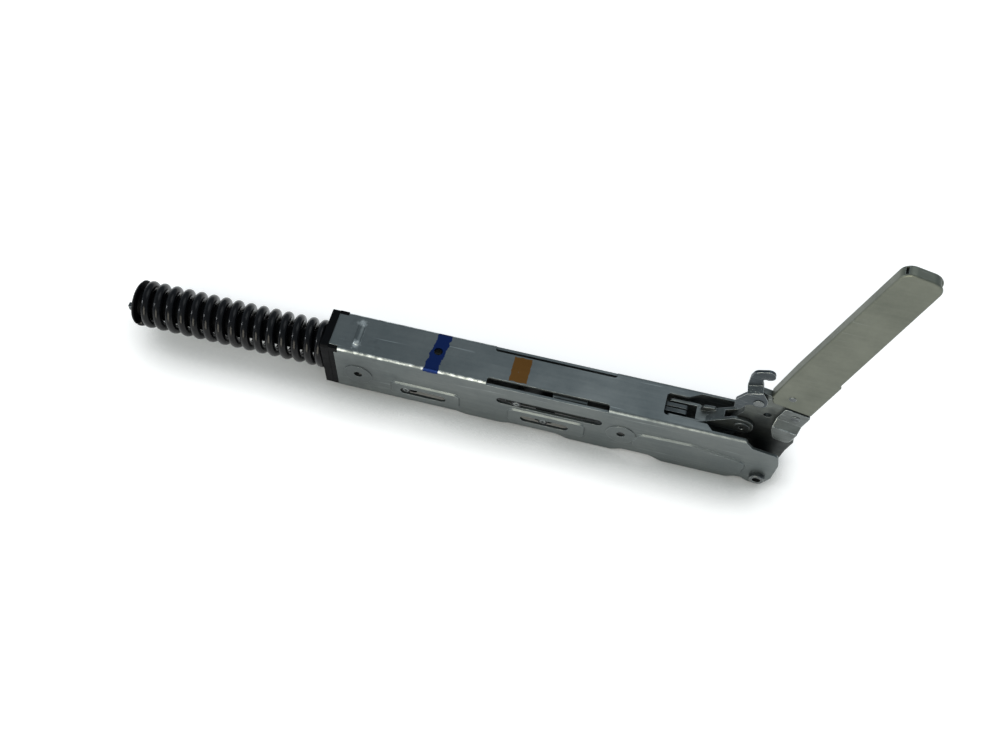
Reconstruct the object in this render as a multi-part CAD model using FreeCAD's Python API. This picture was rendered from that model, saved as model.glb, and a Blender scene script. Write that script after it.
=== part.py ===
import FreeCAD, Part
import math
import os
from FreeCAD import Vector

# Oven door hinge: a folded steel housing that sits in the door, a lever arm that enters the oven,
# and a compression spring on a pull rod that stands out of the housing's far end.
# Millimetres. X runs along the housing from the spring end to the pivot end, Y across it, Z up.
# Lengths along X are measured from the housing's spring end and heights from its outer web face.
# The finished pieces are moved so that the origin lies midway between the two screw holes.

# Housing: a channel that is open downwards
SHEET = 1.2                  # housing sheet
WIDTH = 20.0                 # outside width
DEPTH = 30.0                 # depth of the flanges at the spring end
LENGTH = 197.4               # to the rounded pivot end
BEND = 1.7                   # outside radius of the long folds
WEB_TONGUE = 2.0             # web reaches this far past the flanges at the spring end
PIVOT_FROM_END = 6.8         # pivot to the rounded end
WEB_END = LENGTH - 16.4      # end of the folded strips beside the opening
LOBE = 3.2                   # extra depth of the flanges below the pivot end
LOBE_BACK = (12.6, 41.6, 47.6)   # how far behind the pivot it starts, ends and runs out
MIDDLE_LOBE_BACK = 59.526    # end of the lobe before it, behind the pivot
MIDDLE_LOBE_DROP = 2.4
SPRING_LOBE_DROP = 1.3
OPENING_START = LENGTH - 52.2   # left edge of the web's opening
OPENING_HALF = 5.4           # half its width where it is narrow
OPENING_WIDE = 8.2           # half its width beside the arm
CORNER_SLOT = (0.3495 * LENGTH, 0.6221 * LENGTH)   # the slot along each fold
CORNER_SLOT_IN = 3.2         # how far it reaches into the web
CORNER_SLOT_DOWN = 1.6       # how far it reaches down the flange
NOTCH = 2.2                  # notch in each fold at the spring end
PAD = 0.7                    # height of the pressed pads
WEB_HOLE = (45.2, 0.2)       # round hole in the web
WEB_HOLE_R = 1.9

DIMPLE_X = 9.5               # raised oval dimple across the web
DIMPLE_R = 2.4
DIMPLE_HALF = 4.2            # half the distance between its round ends
DIMPLE_UP = 0.8

# Slots in the flanges and the pins that run in them
PIN_R = 1.3
ROLLER_R = 2.15
ROLLER_GAP = 0.2             # roller to slot edge
SLOT_HALF = ROLLER_R + ROLLER_GAP
ROD_PIN = (0.4195 * LENGTH, -12.2)
REAR_PIN = (32.4, -21.8)
FRONT_PIN = (0.4808 * LENGTH, -22.2)
ROD_TRAVEL = (-6.6, 35.6)    # rod, to closed and to open
REAR_TRAVEL = (0.0, 16.0)    # rear end of the damper
FRONT_TRAVEL = (-7.7, 9.2)   # front end of the damper
STOP_GAP = 0.1               # pin travel to slot end

# Screw holes into the flanges
SCREW_X = (10.6, 0.656 * LENGTH)
SCREW_Z = -17.2
SCREW_R = 1.9
SCREW_BOSS_R = 6.5

# Pivot and arm. In the arm's own frame, U runs from the pivot to the tip and W across it.
PIVOT = (LENGTH - PIVOT_FROM_END, -26.5)
ARM_ANGLE = 76.0             # arm above the housing's axis at rest
PIVOT_R = 3.0
PIVOT_BORE_R = 1.9
PIVOT_HEAD_R = 3.4           # the rivet's ends, which stand out of the flanges
PIVOT_HEAD = 2.2
BUSH_R = 4.7
RUN_GAP = 0.05               # running fit of every pin, on the radius
HUB_R = 7.6
CORE_T = 2.8                 # lever plate
SLEEVE_T = 0.9               # sheet of the sleeve
SLEEVE_GAP = 0.1
SLEEVE_START = 46.3
TIP = 149.0
BLADE_W = 17.9               # upper edge of the sleeve at its base
BLADE_LOW = -0.4             # its lower edge
TIP_TAPER = 2.1              # the upper edge falls this much by the tip
FOLD_START = 50.2            # the sleeve's fold starts here, past the catch's lug
STEP_END = 72.0              # end of the wider base of the sleeve
STEP = 1.3
LINK_ON_ARM = (23.1, 18.7)   # link rivet, in the arm's frame
CATCH_ON_ARM = (45.5, BLADE_W + 3.1)   # catch rivet, in the arm's frame

GUIDE_RIVET = (41.5, 3.2)    # in the arm's frame, as are the next two
GUIDE_RIVET_R = 1.5
SLEEVE_RIVET = (54.0, 10.5)
SLEEVE_RIVET_R = 1.2
LUG_HOLE = (35.5, 12.9)
LUG_HOLE_R = 1.7

# Lower edge and upper lugs of the lever plate, in the arm's frame
HEEL = (14.0, 22.5, 25.0)    # where its lower edge turns
HEEL_W = (-5.3, -5.3, -1.9)
CATCH_LUG = (7.2, 3.2, 3.4)  # reach of the catch's lug behind, above and before the rivet
LINK_LUG = (9.0, 3.0, 1.2, 5.4)   # reach of the link's lug before and behind the rivet

# Guide plates, in the arm's frame
PLATE_LOW = -1.6             # lower edge
PLATE_TOP = 9.5              # upper edge
PLATE_ROOT = (35.5, 36.5)    # the riveted part starts here, below and above
PLATE_TAB = (25.6, 34.0, 31.4, 25.8)   # corners of the raised tab
PLATE_SLOPE = (33.5, 37.5)   # the slope between them
PLATE_RISE = 2.4             # how far the tab stands off

# Link between the arm and the pull rod
LINK_T = 1.3
LINK_NEAR_CORE = 0.3         # side gap to the lever plate
LINK_SPREAD = 1.5            # the two cheeks stand this much wider at the rod
LINK_EYE_R = 4.6
LINK_PIN_BACK = 40.6         # link pin to pivot, along the housing
LINK_PIN = (PIVOT[0] - LINK_PIN_BACK, -10.2)
LINK_PIN_R = 1.8
LINK_RIVET_R = 2.1
LINK_RIVET_BORE_R = 1.1
LINK_HEAD_R = 3.3
HEAD_T = 0.8
LINK_TOP = -SHEET - 0.9      # upper edge of the cheeks, below the web
LINK_LOW = 3.8               # the cheeks reach this far below the pin
LINK_BACK = 3.7              # and this far behind it
LINK_JOG = (9.5, 13.0)       # sideways step of the cheeks, from the pin
LINK_LAP = 0.2               # the step overlaps the flat parts by this much
BRIDGE_START = 8.6           # bridge between the cheeks, from the pin
TAB = (10.0, 11.2, 16.0, 17.5)   # corners of the upright tab, from the pin

# Draw bar: the slot in its head gives the link pin room to rise and fall
BAR_HALF = 2.2
BAR_TOP = -8.8
BAR_LOW = -16.6
HEAD_SLOT_UP = 4.7           # pin rise from rest
HEAD_SLOT_DOWN = 5.0         # pin fall from rest
HEAD_SLOT_SIDE = 1.3         # side play of the pin
HEAD_WALL = 1.9
CARRIAGE_BACK = 5.0          # the carriage starts this far behind the rod pin
CARRIAGE = 35.2              # its length
GROOVE_HALF = 0.35           # half the groove along the top of the head

# Pull rod, spring and caps
SPRING_Z = -15.0
SPRING_OUT_R = 10.7
WIRE_R = 2.1
COILS = 15.0
GUIDE_PLATE = 3.4            # black end plate
GUIDE_PLUG = 8.0
SPRING_FAR = -94.8
CAP_T = 1.4
CAP_R = 10.2
SPIGOT_R = 6.2
SPIGOT = 5.0
TUBE_R = 5.0                 # guide tube round the rod, inside the cap's own tube
TUBE_GAP = 0.3
TUBE_END = -56.0             # outer end of the guide tube
CAP_TUBE_END = -48.0         # inner end of the cap's tube
ROD_HALF_Y = 3.6
ROD_HALF_Z = 1.6
ROD_GAP = 0.3
ROD_END = 30.0               # inner end of the rod
EAR = 3.8                    # the rod's ears past the cap
EAR_OUT = 0.8                # how far each ear reaches past the rod's side
EAR_SPLIT = 2.3              # half the gap between the ears
FORK_START = 14.0            # the draw bar starts here, between the rod's fork
FIT = 0.05                   # gap between pieces that are pressed or staked together

# Damper
DAMPER_R = 3.8
DAMPER_BORE_R = 3.0
DAMPER_X = (15.0, 66.0)
DAMPER_WALL = 1.5
DAMPER_ROD_R = 1.4
PISTON_R = 2.9
PISTON_X = (51.5, 54.5)

# Catch
CATCH_T = 1.3
CATCH_GAP = 0.4              # catch to sleeve
CATCH_JOG = 2.8              # sideways step of the hook
CATCH_RIVET_R = 1.6
BEND_LAP = 0.1               # a step overlaps the flat parts beside it by this much
CATCH_LEAN = 21.0            # degrees that its bend lines rise along the housing
CATCH_STEP = (7.0, 8.8)      # heights of the two bends above the rivet
CATCH_STEM = (-3.3, 3.2)     # sides of the stem at the bends

# Outlines of the catch's foot and hook about its rivet, level with the bends, with corner radii
CATCH_FOOT = [(-9.0, 2.6, 3.0), (-11.1, -4.1, 1.4), (-8.3, -4.1, 1.2), (-4.9, -1.0, 3.0),
              (-2.6, -1.4, 1.0), (-1.2, -3.1, 1.5), (2.4, -3.1, 2.4), (4.0, 1.1, 2.4),
              (3.6, 4.6, 1.0), (CATCH_STEM[1], CATCH_STEP[0], 0), (CATCH_STEM[0], CATCH_STEP[0], 0),
              (-5.1, 5.7, 2.0)]
CATCH_HOOK = [(CATCH_STEM[0], CATCH_STEP[1], 0), (-0.9, 15.0, 4.0), (1.6, 18.3, 3.0),
              (9.3, 18.2, 2.5), (8.8, 12.5, 2.4), (5.9, 12.5, 0.8), (4.1, 13.4, 0.8),
              (CATCH_STEM[1], 11.4, 1.0), (CATCH_STEM[1], CATCH_STEP[1], 0)]

HALF = WIDTH / 2
INNER = HALF - SHEET
FAR = 60.0                   # longer than any cut
DATUM_X = sum(SCREW_X) / 2


def rounded_wire(points):
    """Closed wire in the XZ plane through (x, z, corner radius) points."""
    count = len(points)
    starts = []
    ends = []
    mids = []
    for i in range(count):
        x, z, radius = points[i]
        here = Vector(x, 0, z)
        before = Vector(points[i - 1][0], 0, points[i - 1][1])
        after = Vector(points[(i + 1) % count][0], 0, points[(i + 1) % count][1])
        to_before = (before - here).normalize()
        to_after = (after - here).normalize()
        half = to_before.getAngle(to_after) / 2
        if radius <= 0 or abs(half - math.pi / 2) < 1e-4:
            starts.append(here)
            ends.append(here)
            mids.append(None)
            continue
        back = radius / math.tan(half)
        centre = here + (to_before + to_after).normalize() * (radius / math.sin(half))
        starts.append(here + to_before * back)
        ends.append(here + to_after * back)
        mids.append(centre + (here - centre).normalize() * radius)
    edges = []
    for i in range(count):
        if mids[i] is not None:
            edges.append(Part.Arc(starts[i], mids[i], ends[i]).toShape())
        nxt = starts[(i + 1) % count]
        if ends[i].distanceToPoint(nxt) > 1e-6:
            edges.append(Part.LineSegment(ends[i], nxt).toShape())
    return Part.Wire(edges)


def plate(points, y_low, y_high):
    """Upright plate with a rounded outline, between two heights of Y."""
    solid = Part.Face(rounded_wire(points)).extrude(Vector(0, y_high - y_low, 0))
    solid.translate(Vector(0, y_low, 0))
    return solid


def box(x, y, z):
    """Box from three (low, high) pairs."""
    return Part.makeBox(x[1] - x[0], y[1] - y[0], z[1] - z[0], Vector(x[0], y[0], z[0]))


def rod_y(at, radius, y_low, y_high):
    return Part.makeCylinder(radius, y_high - y_low, Vector(at[0], y_low, at[1]), Vector(0, 1, 0))


def rod_x(x_low, x_high, z, radius):
    return Part.makeCylinder(radius, x_high - x_low, Vector(x_low, 0, z), Vector(1, 0, 0))


def slot_y(at, travel, half):
    """Cutter across the whole width, for a pin at a place with its travel along X."""
    low = at[0] + travel[0] - STOP_GAP
    high = at[0] + travel[1] + STOP_GAP
    ends = rod_y((low, at[1]), half, -FAR, FAR).fuse(rod_y((high, at[1]), half, -FAR, FAR))
    return ends.fuse(box((low, high), (-FAR, FAR), (at[1] - half, at[1] + half)))


def both_sides(solid):
    """The solid and its mirror image across the middle plane."""
    return [solid, solid.mirror(Vector(0, 0, 0), Vector(0, 1, 0))]


def one(solids):
    """Fuses a list of solids into one clean solid."""
    result = solids[0]
    for solid in solids[1:]:
        result = result.fuse(solid)
    return result.removeSplitter()


def cut_all(solid, cutters):
    for cutter in cutters:
        solid = solid.cut(cutter)
    return solid


def in_arm(solid):
    """Moves a piece from the arm's own frame to its place at rest."""
    solid.rotate(Vector(0, 0, 0), Vector(0, 1, 0), -ARM_ANGLE)
    solid.translate(Vector(PIVOT[0], 0, PIVOT[1]))
    return solid


def arm_point(u, w):
    """Place of a point of the arm's frame, at rest."""
    angle = math.radians(ARM_ANGLE)
    x = PIVOT[0] + u * math.cos(angle) - w * math.sin(angle)
    z = PIVOT[1] + u * math.sin(angle) + w * math.cos(angle)
    return x, z


LINK_RIVET = arm_point(*LINK_ON_ARM)
CATCH_RIVET = arm_point(*CATCH_ON_ARM)


def flange_outline():
    """Side view of the housing: lobes along the lower edge and a round pivot end."""
    low = -DEPTH
    deep = -DEPTH - LOBE
    end = LENGTH
    outline = [(-WEB_TONGUE, 0, 0), (WEB_END, 0, 1.0), (WEB_END + 3.5, -4.5, 2.0),
               (end - 1.4, -7.0, 3.0), (end, -14.0, 6.0), (end - 0.9, PIVOT[1] + 0.3, 5.0),
               (PIVOT[0] + 2.6, PIVOT[1] - 6.6, 5.0), (PIVOT[0] - 3.1, PIVOT[1] - 6.6, 3.0),
               (PIVOT[0] - 6.6, low - 0.8, 2.0), (PIVOT[0] - 9.1, low - 1.0, 2.0),
               (PIVOT[0] - LOBE_BACK[0], deep, 3.0), (PIVOT[0] - LOBE_BACK[1], deep, 4.0),
               (PIVOT[0] - LOBE_BACK[2], low, 4.0)]
    # The shallower lobes: where each ends and starts, and its drop
    for high_x, low_x, drop in ((PIVOT[0] - MIDDLE_LOBE_BACK, 0.512 * LENGTH, MIDDLE_LOBE_DROP),
                                (0.405 * LENGTH, 0.279 * LENGTH, SPRING_LOBE_DROP)):
        outline += [(high_x, low, 3.0), (high_x - 4.5, low - drop, 2.5),
                    (low_x + 5.5, low - drop, 2.5), (low_x, low, 3.0)]
    return outline + [(-WEB_TONGUE, low, 0)]


def pressed(outline, height):
    """A pad pressed outwards in the near flange: what is added outside and hollowed inside."""
    added = plate(outline, -HALF - height, -HALF)
    rim = [e for e in added.Edges if abs(e.CenterOfMass.y + HALF + height) < 1e-4]
    added = added.makeChamfer(height * 0.95, rim)
    hollow = plate(outline, -INNER - height, -INNER)
    rim = [e for e in hollow.Edges if abs(e.CenterOfMass.y + INNER + height) < 1e-4]
    hollow = hollow.makeChamfer(height * 0.95, rim)
    return added, hollow


def flange_pads():
    """Outlines of the pads round the slots and the long oval one beside the opening."""
    outlines = []
    for (x, z), left, right in ((REAR_PIN, 7, 25), (FRONT_PIN, 16, 19)):
        high = z + 6.0
        low = z - 5.5
        outlines.append([(x - left, high, 3), (x + right, high, 3), (x + right, low, 3),
                         (x - left, low, 3)])
    x = PIVOT[0]
    outlines.append([(x - 53.6, -13, 4), (x - 30.6, -12, 8), (x - 5.6, -17.5, 4), (x - 7.6, -29, 4),
                     (x - 50.6, -29, 5), (x - 56.6, -22, 4)])
    return outlines


def housing():
    """Folded channel with its opening, corner slots, pin slots, pads and screw holes."""
    outer = box((-WEB_TONGUE, LENGTH + 5), (-HALF, HALF), (-FAR, 0))
    folds = [e for e in outer.Edges
             if abs(e.CenterOfMass.z) < 1e-6 and abs(abs(e.CenterOfMass.y) - HALF) < 1e-6]
    outer = outer.makeFillet(BEND, folds)
    inner = box((-FAR, LENGTH + FAR), (-INNER, INNER), (-2 * FAR, -SHEET))
    folds = [e for e in inner.Edges
             if abs(e.CenterOfMass.z + SHEET) < 1e-6 and abs(abs(e.CenterOfMass.y) - INNER) < 1e-6]
    inner = inner.makeFillet(BEND - SHEET, folds)
    shell = outer.cut(inner).common(plate(flange_outline(), -HALF, HALF))
    side_view = plate(flange_outline(), -WIDTH, WIDTH)
    for outline in flange_pads():
        added, hollow = pressed(outline, PAD)
        added = added.common(side_view)
        for side_added, side_hollow in zip(both_sides(added), both_sides(hollow)):
            shell = shell.fuse(side_added).cut(side_hollow)
    for x in SCREW_X:
        boss = rod_y((x, SCREW_Z), SCREW_BOSS_R, -HALF - PAD / 2, -HALF)
        pit = rod_y((x, SCREW_Z), SCREW_BOSS_R - SHEET, -INNER - PAD / 2, -INNER)
        for side_boss, side_pit in zip(both_sides(boss), both_sides(pit)):
            shell = shell.fuse(side_boss).cut(side_pit)
    cutters = [web_opening(), web_hole()] + corner_slots() + spring_end_cuts()
    cutters.append(slot_y(ROD_PIN, ROD_TRAVEL, SLOT_HALF))
    cutters.append(slot_y(REAR_PIN, REAR_TRAVEL, SLOT_HALF))
    cutters.append(slot_y(FRONT_PIN, FRONT_TRAVEL, SLOT_HALF))
    cutters += [rod_y((x, SCREW_Z), SCREW_R, -FAR, FAR) for x in SCREW_X]
    cutters.append(rod_y(PIVOT, PIVOT_R + FIT, -FAR, FAR))
    shell = cut_all(shell, cutters)
    return cut_all(one([shell, locating_dimple()]), [dimple_hollow()])


def web_opening():
    """Opening above the link, which widens to the folds beside the arm."""
    start = OPENING_START
    narrow = OPENING_HALF
    wide = OPENING_WIDE
    outline = [(start, -narrow, 1.6), (start + 18.8, -narrow, 1.5), (start + 21.3, -wide, 1.0),
               (LENGTH + FAR, -wide, 0), (LENGTH + FAR, wide, 0), (start + 14.3, wide, 1.5),
               (start + 9.3, narrow, 1.5), (start, narrow, 1.6)]
    cutter = plate(outline, -FAR, FAR)
    cutter.rotate(Vector(0, 0, 0), Vector(1, 0, 0), -90)
    return cutter.common(box((0, LENGTH + FAR), (-HALF, HALF), (-SHEET - 0.6, FAR)))


def web_hole():
    x, y = WEB_HOLE
    return Part.makeCylinder(WEB_HOLE_R, 4 * SHEET, Vector(x, y, -2 * SHEET))


def corner_slots():
    """The long slot along each fold, with round ends."""
    low, high = CORNER_SLOT
    reach = HALF - CORNER_SLOT_IN
    outline = [(low, reach, 1.2), (high, reach, 1.2), (high, HALF + 5, 0), (low, HALF + 5, 0)]
    cutter = plate(outline, -CORNER_SLOT_DOWN, FAR)
    cutter.rotate(Vector(0, 0, 0), Vector(1, 0, 0), 90)
    cutter = cutter.mirror(Vector(0, 0, 0), Vector(0, 0, 1))
    band = box((low - 1, high + 1), (-FAR, FAR), (-CORNER_SLOT_DOWN, FAR))
    return [piece.common(band) for piece in both_sides(cutter)]


def spring_end_cuts():
    """The flanges stand back from the web's tongue, with a notch in each fold."""
    cuts = [box((-FAR, 0.5), (-FAR, FAR), (-FAR, -SHEET - 0.4))]
    cuts += both_sides(box((-FAR, NOTCH), (HALF - 2.0, FAR), (-3.0, FAR)))
    return cuts


def capsule(radius, z):
    """Round-ended bar across the web."""
    bar = rod_y((DIMPLE_X, z), radius, -DIMPLE_HALF, DIMPLE_HALF)
    for y in (-DIMPLE_HALF, DIMPLE_HALF):
        bar = bar.fuse(Part.makeSphere(radius, Vector(DIMPLE_X, y, z)))
    return bar


def locating_dimple():
    """Raised oval dimple near the spring end."""
    bar = capsule(DIMPLE_R, DIMPLE_UP - DIMPLE_R)
    return bar.common(box((0, FAR), (-HALF, HALF), (-SHEET, FAR)))


def dimple_hollow():
    bar = capsule(DIMPLE_R - SHEET, DIMPLE_UP - DIMPLE_R)
    return bar.common(box((0, FAR), (-HALF, HALF), (-FAR, -SHEET / 2)))


def rod_hole(x_low, x_high):
    """Opening for the flat pull rod."""
    wide = ROD_HALF_Y + ROD_GAP
    high = ROD_HALF_Z + ROD_GAP
    return box((x_low, x_high), (-wide, wide), (SPRING_Z - high, SPRING_Z + high))


def end_guide():
    """Black moulded block that closes the spring end, carries the spring and guides the rod."""
    back = -WEB_TONGUE - GUIDE_PLATE
    face = -WEB_TONGUE
    flange = box((back, face), (-HALF, HALF), (-DEPTH - 0.6, 0.4))
    corners = [e for e in flange.Edges if abs(e.tangentAt(e.FirstParameter).x) > 0.99]
    flange = flange.makeFillet(1.5, corners)
    plug_half = INNER - 0.15
    plug = box((face, GUIDE_PLUG), (-plug_half, plug_half), (-DEPTH + 1.2, -SHEET - 0.15))
    filler = box((face, 0.3), (-HALF + 0.2, HALF - 0.2), (-DEPTH, -SHEET - 0.6))
    ribs = both_sides(box((face, NOTCH - 0.2), (HALF - 1.9, HALF - 0.1), (-2.8, -0.2)))
    ribs = [rib.common(box((-FAR, FAR), (-HALF, HALF), (-FAR, 0))) for rib in ribs]
    spigot = rod_x(back - SPIGOT, back, SPRING_Z, SPIGOT_R)
    tube = rod_x(TUBE_END, back, SPRING_Z, TUBE_R)
    return one([flange, plug, filler, spigot, tube] + ribs).cut(rod_hole(-2 * FAR, FAR))


def spring_cap():
    """Black end cap that the spring pushes against."""
    far = SPRING_FAR - CAP_T
    disc = rod_x(far, SPRING_FAR, SPRING_Z, CAP_R)
    rim = [e for e in disc.Edges if abs(e.CenterOfMass.x - far) < 1e-6]
    disc = disc.makeChamfer(0.8, rim)
    tube = rod_x(SPRING_FAR, CAP_TUBE_END, SPRING_Z, SPIGOT_R)
    tube = tube.cut(rod_x(SPRING_FAR, CAP_TUBE_END + 1, SPRING_Z, TUBE_R + TUBE_GAP))
    wide = ROD_HALF_Y + FIT
    high = ROD_HALF_Z + FIT
    hole = box((-2 * FAR, FAR), (-wide, wide), (SPRING_Z - high, SPRING_Z + high))
    return one([disc, tube]).cut(hole)


def main_spring():
    """Compression spring of round wire, its last turns closed against the seats."""
    near = -WEB_TONGUE - GUIDE_PLATE
    length = near - SPRING_FAR - 2 * WIRE_R
    radius = SPRING_OUT_R - WIRE_R
    helix = Part.makeHelix(length / COILS, length, radius)
    section = Part.Wire(Part.makeCircle(WIRE_R, Vector(radius, 0, 0), Vector(0, 1, 0)))
    coil = Part.Wire(helix.Edges).makePipeShell([section], True, True)
    coil.rotate(Vector(0, 0, 0), Vector(0, 1, 0), 90)
    coil.translate(Vector(SPRING_FAR + WIRE_R, 0, SPRING_Z))
    return coil


def pull_rod():
    """Flat rod through the spring: ears hold the cap, a fork holds the draw bar."""
    far = SPRING_FAR - CAP_T - EAR
    low = SPRING_Z - ROD_HALF_Z
    high = SPRING_Z + ROD_HALF_Z
    bar = box((far, ROD_END), (-ROD_HALF_Y, ROD_HALF_Y), (low, high))
    between = box((far - 1, far + EAR), (-EAR_SPLIT, EAR_SPLIT), (low - 1, high + 1))
    fork = box((FORK_START, ROD_END + 1), (-BAR_HALF - FIT, BAR_HALF + FIT), (low - 1, high + 1))
    bar = cut_all(bar, [between, fork])
    ears = []
    for side in (-1, 1):
        y = sorted((side * EAR_SPLIT, side * (ROD_HALF_Y + EAR_OUT)))
        ears.append(box((far, far + EAR - FIT), y, (low, high)))
    return one([bar] + ears)


def draw_bar():
    """Upright bar inside the housing; its head has the tall slot for the link pin."""
    x, z = LINK_PIN
    top = z + HEAD_SLOT_UP + LINK_PIN_R + HEAD_WALL
    low = z - HEAD_SLOT_DOWN - LINK_PIN_R - HEAD_WALL
    side = LINK_PIN_R + HEAD_SLOT_SIDE + HEAD_WALL
    start = FORK_START + 1.0
    outline = [(start, BAR_TOP, 2.0), (x - side - 6, BAR_TOP, 3.0), (x - side, top, 2.5),
               (x + side, top, 1.0), (x + side, low + 3.8, 1.0), (x - 1.0, low, 1.0),
               (x - side, low, 1.0), (x - side - 4, BAR_LOW, 2.0), (start, BAR_LOW, 2.0)]
    bar = plate(outline, -BAR_HALF, BAR_HALF)
    half = LINK_PIN_R + HEAD_SLOT_SIDE
    slot_top = z + HEAD_SLOT_UP + LINK_PIN_R
    slot_low = z - HEAD_SLOT_DOWN - LINK_PIN_R
    slot = plate([(x - half, slot_top, 0.8), (x + half, slot_top, 0.8),
                  (x + half, slot_low, 0.8), (x - half, slot_low, 0.8)], -FAR, FAR)
    pin_hole = rod_y(ROD_PIN, PIN_R + FIT, -FAR, FAR)
    groove = box((x - side - 7, x + side + 1), (-GROOVE_HALF, GROOVE_HALF), (BAR_TOP + 1, top + 1))
    return cut_all(bar, [slot, pin_hole, groove])


def slide_carriage():
    """Folded sheet that keeps the draw bar central; its edges show in the corner slots."""
    start = ROD_PIN[0] - CARRIAGE_BACK
    end = start + CARRIAGE
    wide = INNER - 0.6
    top = -SHEET - 0.9
    low = ROD_PIN[1] - ROLLER_R - 0.6
    outer = box((start, end), (-wide, wide), (low, top))
    folds = [e for e in outer.Edges
             if abs(e.CenterOfMass.z - top) < 1e-6 and abs(abs(e.CenterOfMass.y) - wide) < 1e-6]
    outer = outer.makeFillet(1.2, folds)
    inner = box((start - 1, end + 1), (-wide + SHEET, wide - SHEET), (low - 1, top - SHEET))
    relief = both_sides(box((start - 1, end - 15.0), (wide - 3.0, FAR), (top - 3.0, FAR)))
    return cut_all(outer, [inner, rod_y(ROD_PIN, PIN_R + FIT, -FAR, FAR)] + relief)


def slot_pin(at, inner_half):
    """Pin across the housing, its ends flush with the flanges."""
    reach = HALF + 0.1
    if inner_half:
        ends = [rod_y(at, PIN_R, inner_half, reach)]
        return both_sides(ends[0])
    return [rod_y(at, PIN_R, -reach, reach)]


def slot_rollers(at):
    """A roller on each end of a slot pin."""
    ring = rod_y(at, ROLLER_R, INNER - 0.5, HALF)
    ring = ring.cut(rod_y(at, PIN_R + FIT, 0, FAR))
    return both_sides(ring)


def damper_cylinder():
    """Oil cylinder with a closed rear end and a bored front end."""
    z = REAR_PIN[1]
    low, high = DAMPER_X
    tube = rod_x(low, high, z, DAMPER_R).cut(rod_x(low + DAMPER_WALL, high - DAMPER_WALL, z, DAMPER_BORE_R))
    return tube.cut(rod_x(high - 2 * DAMPER_WALL, high + 1, z, DAMPER_ROD_R + RUN_GAP))


def damper_rod():
    """Piston rod with its piston."""
    z = REAR_PIN[1]
    rod = rod_x(PISTON_X[0], FRONT_PIN[0] - 2.0, z, DAMPER_ROD_R)
    return rod.fuse(rod_x(PISTON_X[0], PISTON_X[1], z, PISTON_R)).removeSplitter()


def rear_collar():
    """Moulded collar clamped round the cylinder, with the seats of its two pins."""
    x, z = REAR_PIN
    block = box((x - 4.5, x + 4.5), (-INNER + 1.0, INNER - 1.0), (z - 4.6, z + 4.2))
    edges = [e for e in block.Edges if abs(e.tangentAt(e.FirstParameter).y) > 0.99]
    block = block.makeFillet(1.5, edges)
    block = block.cut(rod_x(x - FAR, x + FAR, z, DAMPER_R + FIT))
    return block.cut(rod_y(REAR_PIN, PIN_R + FIT, -FAR, FAR))


def front_block():
    """Moulded block on the piston rod that carries the front pin."""
    x, z = FRONT_PIN
    block = box((x - 4.1, x + 4.1), (-INNER + 1.0, INNER - 1.0), (z - 4.2, z + 4.4))
    edges = [e for e in block.Edges if abs(e.tangentAt(e.FirstParameter).y) > 0.99]
    block = block.makeFillet(1.5, edges)
    block = block.cut(rod_x(x - FAR, x - 2.0 + FIT, REAR_PIN[1], DAMPER_ROD_R + FIT))
    return block.cut(rod_y(FRONT_PIN, PIN_R + FIT, -FAR, FAR))


def pivot_rivet():
    """Hollow rivet through both flanges, which stands out of them at each end."""
    reach = HALF + PIVOT_HEAD
    body = rod_y(PIVOT, PIVOT_R, -reach, reach)
    for y_low in (HALF, -reach):
        head = rod_y(PIVOT, PIVOT_HEAD_R, y_low, y_low + PIVOT_HEAD)
        face = y_low + PIVOT_HEAD if y_low > 0 else y_low
        rim = [e for e in head.Edges if abs(e.CenterOfMass.y - face) < 1e-6]
        body = body.fuse(head.makeFillet(0.6, rim))
    return body.removeSplitter().cut(rod_y(PIVOT, PIVOT_BORE_R, -FAR, FAR))


def pivot_bushes():
    """Two bushes that keep the lever plate in the middle of the housing."""
    bush = rod_y(PIVOT, BUSH_R, CORE_T / 2 + 0.3, INNER - 0.1)
    return both_sides(bush.cut(rod_y(PIVOT, PIVOT_R + FIT, 0, FAR)))


def arm_core():
    """Lever plate: hub, lug for the link, lug for the catch, and the bar inside the sleeve."""
    hub = HUB_R
    link_u, link_w = LINK_ON_ARM
    catch_u, catch_w = CATCH_ON_ARM
    inner_low = SLEEVE_T + SLEEVE_GAP
    inner_top = BLADE_W - SLEEVE_T - SLEEVE_GAP
    end = TIP - SLEEVE_T - SLEEVE_GAP
    behind, above, before = CATCH_LUG
    link_ahead, link_above, link_behind, link_high = LINK_LUG
    outline = [(-hub, -hub, hub * 0.97), (HEEL[0], HEEL_W[0], 3.0), (HEEL[1], HEEL_W[1], 1.5),
               (HEEL[2], HEEL_W[2], 1.0), (SLEEVE_START + 1, -1.0, 1.0),
               (SLEEVE_START + 3, inner_low, 2.0),
               (end, inner_low, 4.0), (end, inner_top - TIP_TAPER, 4.0), (STEP_END, inner_top, 0),
               (FOLD_START - 0.4, inner_top, 0.5), (FOLD_START - 0.6, catch_w + before, 3.0),
               (catch_u - behind, catch_w + above, 3.0),
               (link_u + link_ahead, link_w + link_above, 6.0),
               (link_u - link_behind, link_w + link_high, 4.5), (-hub, hub * 0.53, hub * 0.8)]
    core = plate(outline, -CORE_T / 2, CORE_T / 2)
    core = cut_all(core, [
        rod_y((0, 0), PIVOT_R + RUN_GAP, -FAR, FAR),
        rod_y(LINK_ON_ARM, LINK_RIVET_R + FIT, -FAR, FAR),
        rod_y(CATCH_ON_ARM, CATCH_RIVET_R + FIT, -FAR, FAR),
        rod_y(GUIDE_RIVET, GUIDE_RIVET_R + FIT, -FAR, FAR),
        rod_y(SLEEVE_RIVET, SLEEVE_RIVET_R + FIT, -FAR, FAR),
        rod_y(LUG_HOLE, LUG_HOLE_R, -FAR, FAR)])
    return in_arm(core)


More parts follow.
